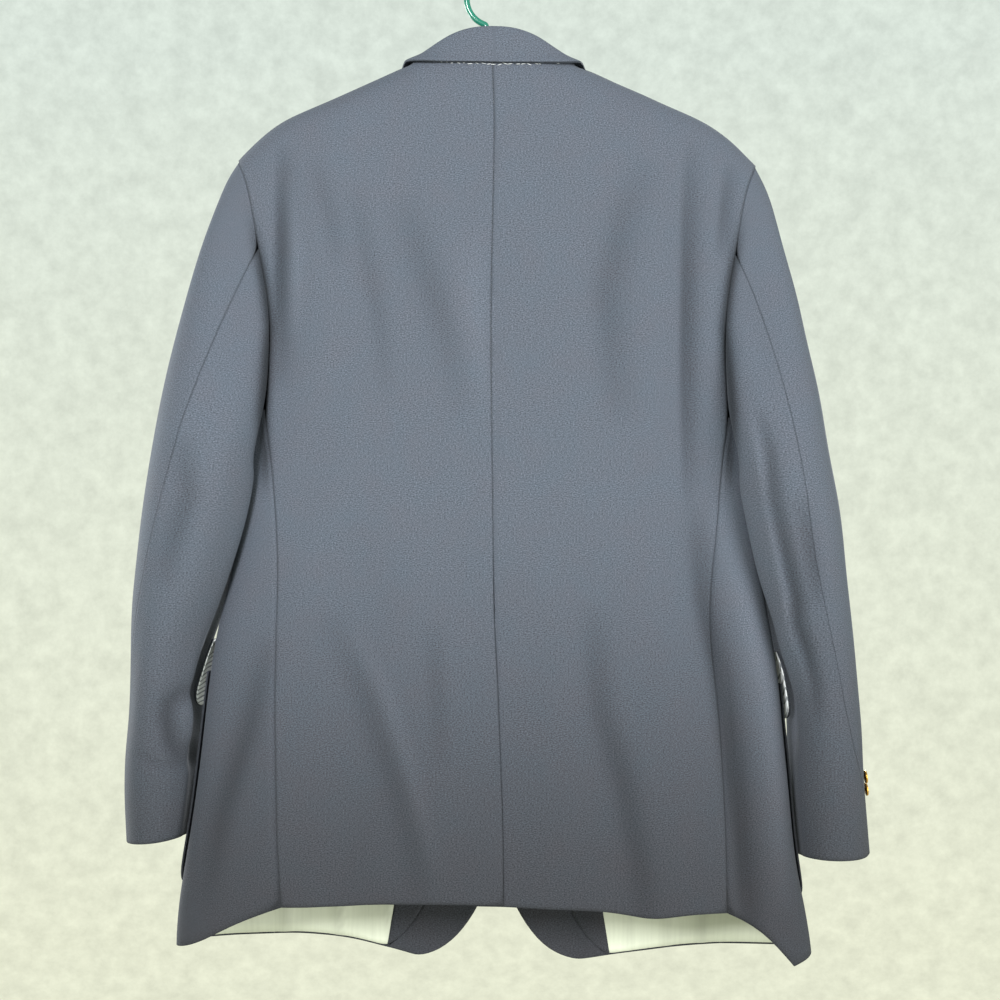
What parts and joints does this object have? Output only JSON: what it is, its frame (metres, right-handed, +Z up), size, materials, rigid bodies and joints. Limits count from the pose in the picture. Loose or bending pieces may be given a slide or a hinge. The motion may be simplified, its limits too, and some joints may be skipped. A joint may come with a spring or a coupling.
{
  "type": "blazer on a hanger",
  "caption": "A slate navy wool blazer with a centre vent and patch pockets, hanging on a green tubular plastic hanger.",
  "frame": {"origin": "underside of the hook's top, where a rail carries the hanger", "axes": "+Z up, the garment's front faces -Y, its own left is +X"},
  "size_m": [0.719, 0.1582, 0.9489],
  "materials": {
    "wool": "fine twill, soft sheen",
    "lining": "thin satin",
    "flap_lining": "thin satin",
    "brass": "polished",
    "green_plastic": "gloss"
  },
  "bodies": {
    "root": {"back_left": "wool", "back_right": "wool", "button_cuff_left_lower": "brass", "button_cuff_left_upper": "brass", "button_cuff_right_lower": "brass", "button_cuff_right_upper": "brass", "button_front_lower": "brass", "button_front_upper": "brass", "collar": "wool", "facing_left": "wool", "facing_right": "wool", "flap_left": "wool", "flap_lining_left": "flap_lining", "flap_lining_right": "flap_lining", "flap_right": "wool", "front_left": "wool", "front_right": "wool", "hanger": "green_plastic", "lapel_left": "wool", "lapel_right": "wool", "lining_left": "lining", "lining_right": "lining", "pocket_left": "wool", "pocket_right": "wool", "side_left": "wool", "side_right": "wool", "sleeve_top_left": "wool", "sleeve_top_right": "wool", "sleeve_under_left": "wool", "sleeve_under_right": "wool"}
  },
  "joints": []
}
